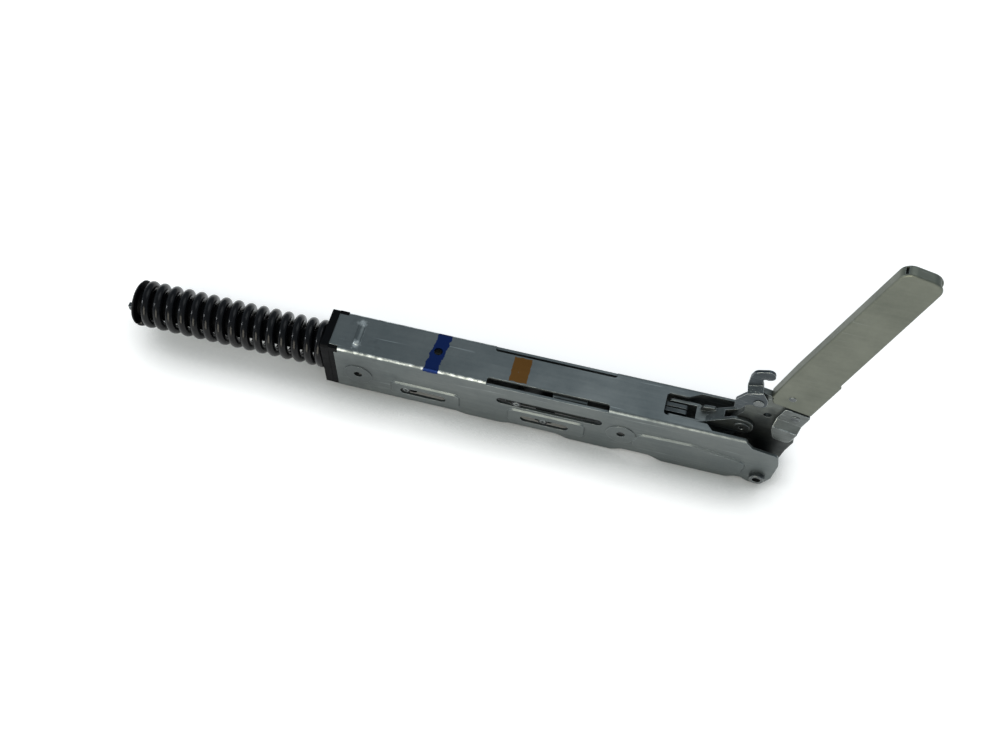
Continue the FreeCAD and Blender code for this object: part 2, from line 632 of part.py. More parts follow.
def arm_sleeve():
    """Sheet folded over the lever plate: closed along one edge and over the tip."""
    half = CORE_T / 2 + SLEEVE_GAP
    tip_top = BLADE_W - TIP_TAPER
    outline = [(SLEEVE_START, -STEP, 0.6), (STEP_END, -STEP, 1.0), (STEP_END + 1.5, BLADE_LOW, 1.0),
               (TIP, BLADE_LOW, 5.5), (TIP, tip_top, 4.5), (STEP_END, BLADE_W, 0),
               (FOLD_START, BLADE_W, 3.0), (SLEEVE_START, BLADE_W - 2.3, 1.0)]
    blade = plate(outline, -half - SLEEVE_T, half + SLEEVE_T)
    fold = [e for e in blade.Edges if e.CenterOfMass.z > tip_top and e.Length > TIP / 4]
    blade = blade.makeFillet(SLEEVE_T, fold)
    start = SLEEVE_START - 1
    end = TIP - SLEEVE_T
    inside = plate([(start, -FAR, 0), (end, -FAR, 0), (end, tip_top - SLEEVE_T, 0),
                    (STEP_END, BLADE_W - SLEEVE_T, 0), (start, BLADE_W - SLEEVE_T, 0)], -half, half)
    corner = box((SLEEVE_START - 1, FOLD_START), (-FAR, FAR), (BLADE_W - SLEEVE_T - 0.3, FAR))
    rivet_hole = rod_y(SLEEVE_RIVET, SLEEVE_RIVET_R + FIT, -FAR, FAR)
    return in_arm(cut_all(blade, [inside, corner, rivet_hole]))


def rivet(at, radius, inner_half, head_r, head_t):
    """Rivet across the middle plane with a low head at each end."""
    body = rod_y(at, radius, -inner_half - head_t, inner_half + head_t)
    for y_low in (inner_half, -inner_half - head_t):
        body = body.fuse(rod_y(at, head_r, y_low, y_low + head_t))
    return body.removeSplitter()


def guide_plates():
    """Joggled U-shaped plates riveted to both faces of the lever plate."""
    face = CORE_T / 2 + FIT
    out = face + PLATE_RISE
    thick = SHEET
    low, top = PLATE_LOW, PLATE_TOP
    end = SLEEVE_START - 0.5
    root = plate([(PLATE_ROOT[0], low, 1), (end, low, 1), (end, top, 1), (PLATE_ROOT[1], top, 1)],
                 face, face + thick)
    tab = plate([(PLATE_TAB[0], low, 2.5), (PLATE_TAB[1], low, 0), (PLATE_TAB[1], top, 0),
                 (PLATE_TAB[2], top - 0.7, 1.5), (PLATE_TAB[3], top - 3.9, 2.5)], out, out + thick)
    near, far = PLATE_SLOPE
    slope = Part.Face(Part.makePolygon([
        Vector(near, out, low), Vector(near, out + thick, low), Vector(far, face + thick, low),
        Vector(far, face, low), Vector(near, out, low)])).extrude(Vector(0, 0, top - low))
    guide = one([root, slope, tab]).cut(rod_y(GUIDE_RIVET, GUIDE_RIVET_R + FIT, -FAR, FAR))
    return [in_arm(side) for side in both_sides(guide)]


def guide_rivet():
    half = CORE_T / 2 + SHEET + 2 * FIT
    return in_arm(rivet(GUIDE_RIVET, GUIDE_RIVET_R, half, GUIDE_RIVET_R + 0.4, 0.15))


def sleeve_rivet():
    half = CORE_T / 2 + SLEEVE_GAP + SLEEVE_T
    return in_arm(rivet(SLEEVE_RIVET, SLEEVE_RIVET_R, half, SLEEVE_RIVET_R + 0.3, 0.15))


def link_cheek():
    """One cheek of the link: close to the lever plate at the arm, wide apart at the rod."""
    inner = CORE_T / 2 + LINK_NEAR_CORE
    spread = inner + LINK_SPREAD
    x, z = LINK_PIN
    rx, rz = LINK_RIVET
    eye = LINK_EYE_R
    low = z - LINK_LOW
    back = x - LINK_BACK
    start = x + LINK_JOG[0]
    end = x + LINK_JOG[1]
    rod_end = plate([(back, LINK_TOP, 1.5), (start, LINK_TOP, 0), (start, low + 3.2, 0),
                     (x + 2.0, low, 3.0), (back, low, 3.0)], spread, spread + LINK_T)
    arm_end = plate([(end, LINK_TOP, 0), (rx - 4.0, rz + eye, 3.0), (rx + eye, rz + eye, eye * 0.95),
                     (rx + eye, rz - eye, eye * 0.95), (end, low + 4.6, 2.0)], inner, inner + LINK_T)
    start -= LINK_LAP
    end += LINK_LAP
    joggle = Part.Face(Part.makePolygon([
        Vector(start, spread, 0), Vector(start, spread + LINK_T, 0),
        Vector(end, inner + LINK_T, 0), Vector(end, inner, 0),
        Vector(start, spread, 0)])).extrude(Vector(0, 0, FAR))
    joggle.translate(Vector(0, 0, -FAR / 2))
    joggle = joggle.common(plate([(start, LINK_TOP, 0), (end, LINK_TOP, 0), (end, low + 4.6, 0),
                                  (start, low + 3.2, 0)], 0, FAR))
    return one([rod_end, joggle, arm_end])


def link():
    """Folded link: two cheeks, the bridge between them and the upright tab on the far side."""
    x, z = LINK_PIN
    rx, rz = LINK_RIVET
    inner = CORE_T / 2 + LINK_NEAR_CORE + LINK_T
    top = LINK_TOP
    start = x + BRIDGE_START
    turn = x + LINK_JOG[1]
    rise = (rz + LINK_EYE_R - top) / (rx - 4.0 - turn)
    end = rx - LINK_EYE_R - 3.4
    end_top = top + rise * (end - turn)
    bridge = plate([(start, top, 0), (turn, top, 0), (end, end_top, 0),
                    (end + LINK_T * 0.4, end_top - LINK_T, 0), (turn, top - LINK_T, 0),
                    (start, top - LINK_T, 0)], -inner, inner)
    tab = plate([(x + TAB[0], top - 0.5, 0), (x + TAB[1], top + 3.0, 1.0),
                 (x + TAB[2], top + 3.6, 1.2), (x + TAB[3], top - 0.2, 0)], inner - LINK_T, inner)
    solid = one(both_sides(link_cheek()) + [bridge, tab])
    solid = solid.cut(rod_y(LINK_RIVET, LINK_RIVET_R + RUN_GAP, -FAR, FAR))
    return solid.cut(rod_y(LINK_PIN, LINK_PIN_R + FIT, -FAR, FAR))


def link_rivet():
    """Stepped hollow rivet that joins the link to the lever plate."""
    half = CORE_T / 2 + LINK_NEAR_CORE + LINK_T + 0.15
    solid = rivet(LINK_RIVET, LINK_RIVET_R, half, LINK_HEAD_R, HEAD_T)
    return solid.cut(rod_y(LINK_RIVET, LINK_RIVET_BORE_R, -FAR, FAR))


def link_pin():
    half = CORE_T / 2 + LINK_NEAR_CORE + LINK_SPREAD + LINK_T + FIT
    return rivet(LINK_PIN, LINK_PIN_R, half, LINK_PIN_R + 0.7, 0.5)


def locking_catch():
    """Stamped catch: a foot beside the arm, a sideways step and a hook above it."""
    outer = -(CORE_T / 2 + SLEEVE_GAP + SLEEVE_T + CATCH_GAP) - CATCH_T
    hook_y = outer + CATCH_JOG
    low, high = CATCH_STEP
    left, right = CATCH_STEM
    foot = plate(CATCH_FOOT, outer, outer + CATCH_T)
    hook = plate(CATCH_HOOK, hook_y, hook_y + CATCH_T)
    step = Part.Face(Part.makePolygon([
        Vector(left, outer, low - BEND_LAP), Vector(left, outer + CATCH_T, low - BEND_LAP),
        Vector(left, hook_y + CATCH_T, high + BEND_LAP), Vector(left, hook_y, high + BEND_LAP),
        Vector(left, outer, low - BEND_LAP)])).extrude(Vector(right - left, 0, 0))
    catch = one([foot, step, hook]).cut(rod_y((0, 0), CATCH_RIVET_R + RUN_GAP, -FAR, FAR))
    catch.rotate(Vector(0, 0, 0), Vector(0, 1, 0), -CATCH_LEAN)
    catch.translate(Vector(CATCH_RIVET[0], 0, CATCH_RIVET[1]))
    return catch


def catch_rivet():
    """Rivet that carries the catch on the near face of the lever plate."""
    near = -(CORE_T / 2 + SLEEVE_GAP + SLEEVE_T + CATCH_GAP + CATCH_T) - 0.15
    body = rod_y(CATCH_RIVET, CATCH_RIVET_R, near - 0.2, CORE_T / 2 + 0.7)
    body = body.fuse(rod_y(CATCH_RIVET, CATCH_RIVET_R + 0.5, near - 0.2, near))
    body = body.fuse(rod_y(CATCH_RIVET, CATCH_RIVET_R + 0.6, CORE_T / 2 + FIT, CORE_T / 2 + 0.7))
    collar = near + CATCH_T + 0.3
    body = body.fuse(rod_y(CATCH_RIVET, CATCH_RIVET_R + 0.6, collar, -CORE_T / 2 - FIT))
    return body.removeSplitter()


def save(name, solids):
    """Writes one piece, or a group of like pieces, about the part's origin."""
    if not isinstance(solids, list):
        solids = [solids]
    shape = solids[0] if len(solids) == 1 else Part.makeCompound(solids)
    shape.translate(Vector(-DATUM_X, 0, 0))
    for solid in shape.Solids:
        if not solid.isValid():
            print("not valid:", name)
    print("%-16s %d solid(s)  %9.1f mm3" % (name, len(shape.Solids), shape.Volume))
    shape.exportStep("parts/" + name + ".step")


def main():
    os.makedirs("parts", exist_ok=True)
    save("housing", housing())
    save("end_guide", end_guide())
    save("pivot_rivet", pivot_rivet())
    save("pivot_bushes", pivot_bushes())
    save("main_spring", main_spring())
    save("spring_cap", spring_cap())
    save("pull_rod", pull_rod())
    save("draw_bar", draw_bar())
    save("slide_carriage", slide_carriage())
    save("rod_pin", slot_pin(ROD_PIN, 0))
    save("rod_rollers", slot_rollers(ROD_PIN))
    save("damper_cylinder", damper_cylinder())
    save("rear_collar", rear_collar())
    save("rear_pins", slot_pin(REAR_PIN, DAMPER_R + 0.2))
    save("rear_rollers", slot_rollers(REAR_PIN))
    save("damper_rod", damper_rod())
    save("front_block", front_block())
    save("front_pin", slot_pin(FRONT_PIN, 0))
    save("front_rollers", slot_rollers(FRONT_PIN))
    save("link", link())
    save("link_pin", link_pin())
    save("link_rivet", link_rivet())
    save("arm_core", arm_core())
    save("arm_sleeve", arm_sleeve())
    save("guide_plates", guide_plates())
    save("guide_rivet", guide_rivet())
    save("sleeve_rivet", sleeve_rivet())
    save("locking_catch", locking_catch())
    save("catch_rivet", catch_rivet())


main()
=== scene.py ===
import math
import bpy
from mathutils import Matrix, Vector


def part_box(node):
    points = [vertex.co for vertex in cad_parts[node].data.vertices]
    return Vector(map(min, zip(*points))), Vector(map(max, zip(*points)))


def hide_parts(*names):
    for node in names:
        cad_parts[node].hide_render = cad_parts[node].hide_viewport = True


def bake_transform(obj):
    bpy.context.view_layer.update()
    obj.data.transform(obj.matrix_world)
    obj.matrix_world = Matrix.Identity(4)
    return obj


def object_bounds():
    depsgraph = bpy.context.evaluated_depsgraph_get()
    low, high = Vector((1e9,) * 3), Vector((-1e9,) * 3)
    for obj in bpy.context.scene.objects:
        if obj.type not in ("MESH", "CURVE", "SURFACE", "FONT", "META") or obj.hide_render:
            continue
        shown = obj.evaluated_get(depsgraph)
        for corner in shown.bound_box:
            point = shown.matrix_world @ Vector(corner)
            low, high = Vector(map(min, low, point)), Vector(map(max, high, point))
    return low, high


bl_info = {
    "name": "Oven Door Hinge",
    "version": (1, 0, 0),
    "blender": (4, 5, 0),
    "location": "View3D > Sidebar > Hinge",
    "description": "Finishes, spring and studio for an oven door hinge",
    "category": "Object",
}

import bmesh
import bpy
from bpy.props import FloatProperty, FloatVectorProperty, IntProperty, PointerProperty
from bpy.types import Operator, Panel, PropertyGroup
from mathutils import Matrix, Vector

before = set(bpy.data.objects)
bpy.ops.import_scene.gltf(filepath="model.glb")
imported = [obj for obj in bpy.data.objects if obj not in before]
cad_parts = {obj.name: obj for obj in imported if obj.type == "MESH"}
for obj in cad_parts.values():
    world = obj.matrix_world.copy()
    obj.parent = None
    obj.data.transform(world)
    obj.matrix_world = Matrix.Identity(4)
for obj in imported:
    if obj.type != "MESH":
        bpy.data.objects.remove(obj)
CAD_LOW, CAD_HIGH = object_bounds()
SPRING_LOW, SPRING_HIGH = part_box("main_spring")

# Distance of the origin from the housing's spring end, and half the housing's width
ORIGIN_FROM_END = 0.07005
HALF_WIDTH = 0.010

# Gaps between the floor and the hinge, and between the spring's wire and each seat
FLOOR_GAP = 0.0002
SEAT_GAP = 0.00002

# Pitch of the spring's closed turns and inset of the wire's ends from the seats, in wire radii
CLOSED_PITCH = 2.04
END_INSET = 0.55

# Part of a turn over which the spring's pitch opens up
EASE = 0.5

# Depth of the grain on metal and coat, and on mouldings
FINE_RELIEF = 0.00002
COARSE_RELIEF = 0.00003

# Point that the lights are aimed at, and their tints
LIGHT_TARGET = (0.02, 0.0, 0.02)
WARM = (1.0, 0.94, 0.8)
COOL = (0.93, 0.97, 1.0)

# Room for one node in the shader editor
COLUMN_WIDTH = 210
ROW_HEIGHT = 190

# Kinds of socket
NUMBER = "NodeSocketFloat"
VECTOR = "NodeSocketVector"


def shade(red, green, blue):
    """Linear colour of a screen colour given from 0 to 255."""
    linear = []
    for value in (red, green, blue):
        part = value / 255
        linear.append(part / 12.92 if part <= 0.04045 else ((part + 0.055) / 1.055) ** 2.4)
    return tuple(linear)


def colour(name, description, red, green, blue):
    """Colour setting of the panel, given from 0 to 255."""
    return FloatVectorProperty(name=name, description=description, subtype="COLOR", size=3,
                               min=0.0, max=1.0, default=shade(red, green, blue))


def length(name, description, default, low=0.0):
    """Length setting of the panel, in metres."""
    return FloatProperty(name=name, description=description, subtype="DISTANCE", unit="LENGTH",
                         default=default, min=low)


class HingeSpringProps(PropertyGroup):
    """Sizes of the compression spring."""
    wire_radius: length("Wire radius", "Half the wire's thickness", 0.0021, 0.0002)
    outer_radius: length("Outer radius", "Half the spring's outside width",
                         (SPRING_HIGH.y - SPRING_LOW.y) / 2, 0.001)
    near_end: length("Inner end", "Where the spring meets the end guide", SPRING_HIGH.x, -1.0)
    far_end: length("Outer end", "Where the spring meets its cap", SPRING_LOW.x, -1.0)
    height: length("Height", "Height of the spring's axis", (SPRING_HIGH.z + SPRING_LOW.z) / 2, -1.0)
    open_turns: FloatProperty(name="Open turns", description="Turns between the closed end turns",
                              default=13.4, min=2.0)
    end_turns: FloatProperty(name="End turns", description="Closed turns at each end", default=0.9,
                             min=0.2)
    start_angle: FloatProperty(name="Start angle", description="Where the wire starts",
                               subtype="ANGLE", default=math.radians(200))
    steps: IntProperty(name="Steps", description="Rings of the mesh in one turn", default=40, min=8)
    sides: IntProperty(name="Sides", description="Corners of each ring", default=16, min=6)


class HingeMetalProps(PropertyGroup):
    """Colours of the metal finishes."""
    zinc: colour("Zinc sheet", "Folded zinc coated sheet", 108, 113, 112)
    zinc_dark: colour("Zinc shade", "Duller patches of the zinc", 90, 97, 98)
    sleeve: colour("Sleeve", "Sheet of the arm's sleeve", 112, 115, 104)
    sleeve_dark: colour("Sleeve shade", "Duller patches of the sleeve", 92, 96, 87)
    lever: colour("Lever plate", "Thick pressed steel", 104, 108, 104)
    lever_dark: colour("Lever shade", "Duller patches of the lever", 74, 78, 76)
    # Oily inner steel, kept dark partly as painted shade inside the housing, so that the slots read
    # dark
    inner: colour("Inner steel", "Oily steel inside the housing", 72, 77, 78)
    inner_dark: colour("Inner shade", "Darker oil film", 38, 42, 43)
    pin: colour("Pins", "Turned and headed steel", 112, 116, 116)
    pin_dark: colour("Pin shade", "Handled steel", 66, 70, 71)
    pin_bright: colour("Slot pins", "Bright ends of the slot pins", 150, 156, 156)
    # The tube is dark partly as painted shade inside the housing
    tube: colour("Damper tube", "Drawn tube", 60, 63, 63)
    tube_dark: colour("Tube shade", "Dull film on the tube", 40, 43, 43)
    # Bare metal in scratches and on rubbed edges, where it is also painted edge highlight
    bright: colour("Bright edge", "Bare metal on edges and in scratches", 196, 204, 204)
    # Colour of painted highlights along the housing's bend and at its dimple, and of bare rubbed edges
    # on small parts
    highlight_and_bare: colour("Rubbed fold", "Bare metal where the folds are rubbed", 222, 228, 226)
    catch: colour("Catch", "Bluish steel of the catch", 72, 79, 83)
    catch_dark: colour("Catch shade", "Duller patches of the catch", 48, 54, 58)


class HingeMarkProps(PropertyGroup):
    """The paint band and the amber stripe across the web."""
    blue: colour("Band", "Blue paint", 10, 34, 84)
    blue_start: length("Band start", "From the housing's spring end, on the near side", 0.0410)
    blue_width: length("Band width", "Width of the band on the near side", 0.0066)
    blue_slant: FloatProperty(name="Band slant", description="Shift along the housing over its width",
                              default=0.10)
    amber: colour("Stripe", "Amber varnish", 98, 62, 2)
    amber_start: length("Stripe start", "From the housing's spring end", 0.0780)
    amber_width: length("Stripe width", "Width of the stripe", 0.0080)


class HingePlasticProps(PropertyGroup):
    """Colours of the moulded pieces and the spring's coat."""
    guide: colour("Moulded black", "Black mouldings", 9, 10, 12)
    guide_dust: colour("Dust", "Dust on the mouldings", 48, 50, 50)
    roller: colour("Rollers", "Grey moulded rollers", 62, 64, 66)
    coat: colour("Spring coat", "Black coat of the spring", 8, 8, 10)
    coat_worn: colour("Worn coat", "Coat rubbed thin on the outside of the turns", 44, 46, 50)


class HingeStageProps(PropertyGroup):
    """Floor, lights and camera."""
    camera_place: FloatVectorProperty(name="Camera", description="Place of the camera",
                                      subtype="TRANSLATION", unit="LENGTH", size=3,
                                      default=(0.06575, -0.2743, 0.4628))
    camera_turn: FloatProperty(name="Turn", description="Camera's turn round the hinge",
                               subtype="ANGLE", default=math.radians(12.92))
    camera_rise: FloatProperty(name="Rise", description="Camera's height over the horizon",
                               subtype="ANGLE", default=math.radians(59.12))
    camera_roll: FloatProperty(name="Roll", description="Camera's roll", subtype="ANGLE",
                               default=math.radians(1.63))
    lens: FloatProperty(name="Lens", description="Focal length in millimetres", default=45.31, min=5.0)
    floor_size: length("Floor", "Half the floor's width", 6.0, 0.5)
    floor: colour("Floor colour", "Pale floor", 205, 206, 204)
    shade_reach: length("Shade reach", "How far from the hinge its shade reaches over the floor", 0.03)
    sky: colour("Room", "Soft light of the room", 196, 210, 222)
    room_level: FloatProperty(name="Room light", description="Strength of the room's light",
                              default=0.55, min=0.0)
    key_power: FloatProperty(name="Front light", description="Watts of the soft light in front",
                             default=8.0, min=0.0)
    side_power: FloatProperty(name="Side light", description="Watts of the small light at the left",
                              default=2.5, min=0.0)
    top_power: FloatProperty(name="Top light", description="Watts of the soft light above",
                             default=3.0, min=0.0)


# Node helpers

def add(tree, kind, column, row, **settings):
    """New node of a tree, placed on a grid of columns and rows."""
    made = tree.nodes.new(kind)
    made.location = (column * COLUMN_WIDTH, -row * ROW_HEIGHT)
    for key, value in settings.items():
        setattr(made, key, value)
    return made


def feed(tree, source, target):
    """Links an output to an input, or sets the input to a plain value."""
    if isinstance(source, bpy.types.NodeSocket):
        tree.links.new(source, target)
    else:
        target.default_value = source


def maths(tree, operation, first, second, column, row, added=0.0, clamp=False):
    """Math node fed by sockets or numbers. Only MULTIPLY_ADD reads the added value."""
    made = add(tree, "ShaderNodeMath", column, row, operation=operation, use_clamp=clamp)
    for value, target in zip((first, second, added), made.inputs):
        feed(tree, value, target)
    return made.outputs[0]


def mix_colours(tree, share, first, second, column, row):
    """Colour between two colours, by a share."""
    made = add(tree, "ShaderNodeMix", column, row, data_type="RGBA")
    feed(tree, share, made.inputs[0])
    feed(tree, first, made.inputs[6])
    feed(tree, second, made.inputs[7])
    return made.outputs[2]


def spread(tree, value, low, high, to_low, to_high, column, row):
    """Maps a value from one span to another, held at its ends."""
    made = add(tree, "ShaderNodeMapRange", column, row)
    feed(tree, value, made.inputs["Value"])
    for label, number in (("From Min", low), ("From Max", high), ("To Min", to_low),
                          ("To Max", to_high)):
        feed(tree, number, made.inputs[label])
    return made.outputs[0]


def noise(tree, vector, scale, detail, column, row, roughness=0.55):
    """Noise read at a vector, from 0 to 1."""
    made = add(tree, "ShaderNodeTexNoise", column, row)
    feed(tree, vector, made.inputs["Vector"])
    feed(tree, scale, made.inputs["Scale"])
    made.inputs["Detail"].default_value = detail
    made.inputs["Roughness"].default_value = roughness
    return made.outputs["Fac"]


def stretched(tree, vector, stretch, turn, column, row):
    """Coordinates turned and scaled by axis, for marks that run one way."""
    made = add(tree, "ShaderNodeMapping", column, row)
    feed(tree, vector, made.inputs["Vector"])
    made.inputs["Rotation"].default_value = turn
    made.inputs["Scale"].default_value = stretch
    return made.outputs[0]


def object_place(tree, column, row):
    """Place on the piece in its own coordinates, so that marks move with it."""
    return add(tree, "ShaderNodeTexCoord", column, row).outputs["Object"]


def new_group(name, inputs, outputs):
    """Shader node group with named sockets. Returns its tree, input node and output node."""
    tree = bpy.data.node_groups.new(name, "ShaderNodeTree")
    for label, kind, default in inputs:
        socket = tree.interface.new_socket(label, in_out="INPUT", socket_type=kind)
        socket.default_value = default
    for label, kind in outputs:
        tree.interface.new_socket(label, in_out="OUTPUT", socket_type=kind)
    return tree, add(tree, "NodeGroupInput", 0, 0), add(tree, "NodeGroupOutput", 9, 0)


def group(name):
    """The named effect, built the first time it is asked for."""
    builders = {"Sheet grain": build_grain, "Edge wear and highlight": build_edges, "Scratches": build_scratches,
                "Crevice shade and dust": build_crevice_mask, "Band across": build_band, "Spot": build_spot,
                "Fold highlight": build_fold_highlight}
    return bpy.data.node_groups.get(name) or builders[name](name)


def build_grain(name):
    """Clouded zinc with fine lines that run along the rolling direction."""
    tree, given, out = new_group(name, [("Scale", NUMBER, 60.0), ("Streaks", NUMBER, 0.4)],
                                 [("Tone", NUMBER), ("Height", NUMBER)])
    place = object_place(tree, 0, 2)
    clouds = noise(tree, place, given.outputs["Scale"], 5.0, 2, 0, 0.62)
    fine_scale = maths(tree, "MULTIPLY", given.outputs["Scale"], 22.0, 1, 1)
    fine = noise(tree, place, fine_scale, 3.0, 2, 1)
    along = stretched(tree, place, (0.06, 1.0, 1.0), (0, 0, 0), 1, 3)
    line_scale = maths(tree, "MULTIPLY", given.outputs["Scale"], 14.0, 1, 2)
    lines = noise(tree, along, line_scale, 4.0, 2, 3)
    clouds = spread(tree, clouds, 0.32, 0.68, 0.0, 1.0, 3, 0)
    lines = spread(tree, lines, 0.35, 0.65, 0.0, 1.0, 3, 3)
    streaks = add(tree, "ShaderNodeMix", 5, 1, data_type="FLOAT")
    feed(tree, given.outputs["Streaks"], streaks.inputs[0])
    feed(tree, clouds, streaks.inputs[2])
    feed(tree, lines, streaks.inputs[3])
    grit = maths(tree, "MULTIPLY_ADD", fine, 0.25, 6, 1, added=-0.125)
    tone = maths(tree, "ADD", streaks.outputs[0], grit, 7, 0, clamp=True)
    height = maths(tree, "MULTIPLY_ADD", lines, 0.35, 7, 2, added=fine)
    feed(tree, tone, out.inputs["Tone"])
    feed(tree, height, out.inputs["Height"])
    return tree


def build_edges(name):
    """Mask of rubbed edges, which also serves as painted edge highlight, and a normal that rounds
    them.
    """
    tree, given, out = new_group(name, [("Radius", NUMBER, 0.0003), ("Breakup", NUMBER, 400.0)],
                                 [("Mask", NUMBER), ("Normal", VECTOR)])
    round_edges = add(tree, "ShaderNodeBevel", 2, 0, samples=6)
    feed(tree, given.outputs["Radius"], round_edges.inputs["Radius"])
    faces = add(tree, "ShaderNodeNewGeometry", 2, 2)
    turn = add(tree, "ShaderNodeVectorMath", 4, 1, operation="DOT_PRODUCT")
    feed(tree, round_edges.outputs[0], turn.inputs[0])
    feed(tree, faces.outputs["Normal"], turn.inputs[1])
    mask = spread(tree, turn.outputs["Value"], 0.995, 0.86, 0.0, 1.0, 5, 1)
    broken = noise(tree, object_place(tree, 0, 3), given.outputs["Breakup"], 3.0, 4, 3)
    broken = spread(tree, broken, 0.38, 0.6, 0.25, 1.0, 5, 3)
    feed(tree, maths(tree, "MULTIPLY", mask, broken, 6, 1), out.inputs["Mask"])
    feed(tree, round_edges.outputs[0], out.inputs["Normal"])
    return tree


def build_scratches(name):
    """Fine handling scratches in two directions, in patches."""
    tree, given, out = new_group(name, [("Scale", NUMBER, 90.0), ("Amount", NUMBER, 0.5)],
                                 [("Mask", NUMBER)])
    place = object_place(tree, 0, 1)
    masks = []
    for row, turn in ((0, (0.2, 0.5, 0.3)), (2, (0.1, -0.9, -0.7))):
        thin = stretched(tree, place, (0.05, 1.6, 1.6), turn, 1, row)
        lines = noise(tree, thin, maths(tree, "MULTIPLY", given.outputs["Scale"], 9.0, 1, row + 1),
                      2.0, 2, row)
        masks.append(spread(tree, lines, 0.66, 0.72, 0.0, 1.0, 3, row))
    both = maths(tree, "MAXIMUM", masks[0], masks[1], 4, 0)
    patches = noise(tree, place, given.outputs["Scale"], 2.0, 3, 4)
    patches = spread(tree, patches, 0.45, 0.6, 0.0, 1.0, 4, 4)
    strength = maths(tree, "MULTIPLY", patches, given.outputs["Amount"], 5, 3)
    feed(tree, maths(tree, "MULTIPLY", both, strength, 6, 0), out.inputs["Mask"])
    return tree


def build_crevice_mask(name):
    """Mask of corners and round pressed shapes, from ambient occlusion: painted shade on metal, dust
    on mouldings.
    """
    tree, given, out = new_group(name, [("Reach", NUMBER, 0.003), ("Scale", NUMBER, 250.0)],
                                 [("Mask", NUMBER)])
    closed = add(tree, "ShaderNodeAmbientOcclusion", 2, 0, samples=6, only_local=True)
    feed(tree, given.outputs["Reach"], closed.inputs["Distance"])
    corners = spread(tree, closed.outputs["AO"], 0.9, 0.45, 0.0, 1.0, 3, 0)
    patches = noise(tree, object_place(tree, 0, 2), given.outputs["Scale"], 4.0, 2, 2)
    patches = spread(tree, patches, 0.3, 0.65, 0.3, 1.0, 3, 2)
    feed(tree, maths(tree, "MULTIPLY", corners, patches, 4, 0), out.inputs["Mask"])
    return tree


def build_band(name):
    """Mask of a band of paint across the web, with brushed edges."""
    tree, given, out = new_group(
        name, [("Start", NUMBER, 0.0), ("Width", NUMBER, 0.006), ("Slant", NUMBER, 0.0),
               ("Wobble", NUMBER, 0.0006), ("Half Reach", NUMBER, 0.02), ("Depth", NUMBER, 0.001)],
        [("Mask", NUMBER)])
    place = object_place(tree, 0, 2)
    axes = add(tree, "ShaderNodeSeparateXYZ", 1, 2)
    feed(tree, place, axes.inputs[0])
    wander = spread(tree, noise(tree, place, 420.0, 3.0, 1, 4), 0.3, 0.7, -1.0, 1.0, 2, 4)
    wander = maths(tree, "MULTIPLY", wander, given.outputs["Wobble"], 3, 4)
    lean = maths(tree, "MULTIPLY", axes.outputs["Y"], given.outputs["Slant"], 2, 2)
    along = maths(tree, "SUBTRACT", axes.outputs["X"], lean, 3, 2)
    along = maths(tree, "ADD", along, wander, 4, 2)
    along = maths(tree, "SUBTRACT", along, given.outputs["Start"], 5, 2)
    inside = spread(tree, along, 0.0, 0.0002, 0.0, 1.0, 6, 2)
    left = maths(tree, "SUBTRACT", given.outputs["Width"], along, 6, 3)
    inside = maths(tree, "MULTIPLY", inside, spread(tree, left, 0.0, 0.0002, 0.0, 1.0, 7, 3), 7, 2)
    side = maths(tree, "ABSOLUTE", axes.outputs["Y"], 0.0, 3, 5)
    side = maths(tree, "SUBTRACT", given.outputs["Half Reach"], side, 4, 5)
    side = spread(tree, maths(tree, "ADD", side, wander, 5, 5), 0.0, 0.0002, 0.0, 1.0, 6, 5)
    depth = maths(tree, "ADD", axes.outputs["Z"], given.outputs["Depth"], 4, 6)
    depth = spread(tree, maths(tree, "ADD", depth, wander, 5, 6), 0.0, 0.0002, 0.0, 1.0, 6, 6)
    mask = maths(tree, "MULTIPLY", maths(tree, "MULTIPLY", inside, side, 8, 2), depth, 8, 3)
    feed(tree, mask, out.inputs["Mask"])
    return tree


def build_spot(name):
    """Mask of a ragged spot, alike on both sides, for smudges, grease, painted shade and painted
    highlights.
    """
    tree, given, out = new_group(
        name, [("Place", VECTOR, (0.0, 0.0, 0.0)), ("Reach", NUMBER, 0.01), ("Scale", NUMBER, 150.0)],
        [("Mask", NUMBER)])
    place = object_place(tree, 0, 2)
    axes = add(tree, "ShaderNodeSeparateXYZ", 1, 1)
    feed(tree, place, axes.inputs[0])
    folded = add(tree, "ShaderNodeCombineXYZ", 2, 2)
    feed(tree, axes.outputs["X"], folded.inputs["X"])
    feed(tree, maths(tree, "ABSOLUTE", axes.outputs["Y"], 0.0, 1, 3), folded.inputs["Y"])
    feed(tree, axes.outputs["Z"], folded.inputs["Z"])
    apart = add(tree, "ShaderNodeVectorMath", 3, 2, operation="DISTANCE")
    feed(tree, folded.outputs[0], apart.inputs[0])
    feed(tree, given.outputs["Place"], apart.inputs[1])
    ragged = noise(tree, place, given.outputs["Scale"], 4.0, 2, 3)
    ragged = spread(tree, ragged, 0.3, 0.7, 0.6, 1.4, 3, 3)
    share = maths(tree, "DIVIDE", apart.outputs["Value"], given.outputs["Reach"], 3, 1)
    share = maths(tree, "MULTIPLY", share, ragged, 4, 1)
    feed(tree, spread(tree, share, 1.0, 0.4, 0.0, 1.0, 5, 1), out.inputs["Mask"])
    return tree


